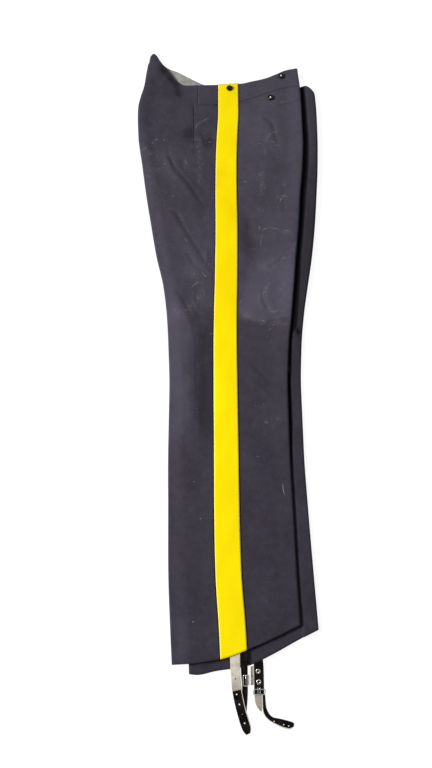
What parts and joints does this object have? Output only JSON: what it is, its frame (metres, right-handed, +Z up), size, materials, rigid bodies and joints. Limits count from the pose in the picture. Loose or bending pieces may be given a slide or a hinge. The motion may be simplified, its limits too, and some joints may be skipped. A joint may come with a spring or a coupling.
{
  "type": "uniform trousers",
  "caption": "Dark wool mounted-uniform trousers with a wide yellow outseam stripe, brace buttons and foot straps, folded along the leg creases and laid flat.",
  "frame": {"origin": "middle of the underside, on the surface that the trousers lie on", "axes": "+Y up the legs to the waist, +X towards the wearer's front, +Z up out of the surface"},
  "size_m": [0.3868, 1.35, 0.0171],
  "materials": {
    "navy_wool": "dense napped wool",
    "yellow_cloth": "facing cloth",
    "pale_lining": "cotton lining",
    "black_button": "polished",
    "black_leather": "waxed grain side",
    "pale_leather": "flesh side",
    "strap_metal": "worn"
  },
  "bodies": {
    "root": {"right_front": "navy_wool", "right_back": "navy_wool", "right_waistband": "navy_wool", "right_stripe": "yellow_cloth", "left_front": "navy_wool", "left_back": "navy_wool", "left_waistband": "navy_wool", "left_stripe": "yellow_cloth", "waist_lining": "pale_lining", "button_side": "black_button", "button_front_upper": "black_button", "button_front_lower": "black_button", "right_billet": "black_leather", "right_billet_lining": "pale_leather", "right_buckle_strap": "black_leather", "right_buckle": "strap_metal", "left_buckle_strap": "black_leather", "left_strap_lining": "pale_leather", "left_eyelet_upper": "strap_metal", "left_eyelet_lower": "strap_metal", "left_buckle": "strap_metal", "left_keeper": "pale_leather", "left_billet": "black_leather"}
  },
  "joints": []
}
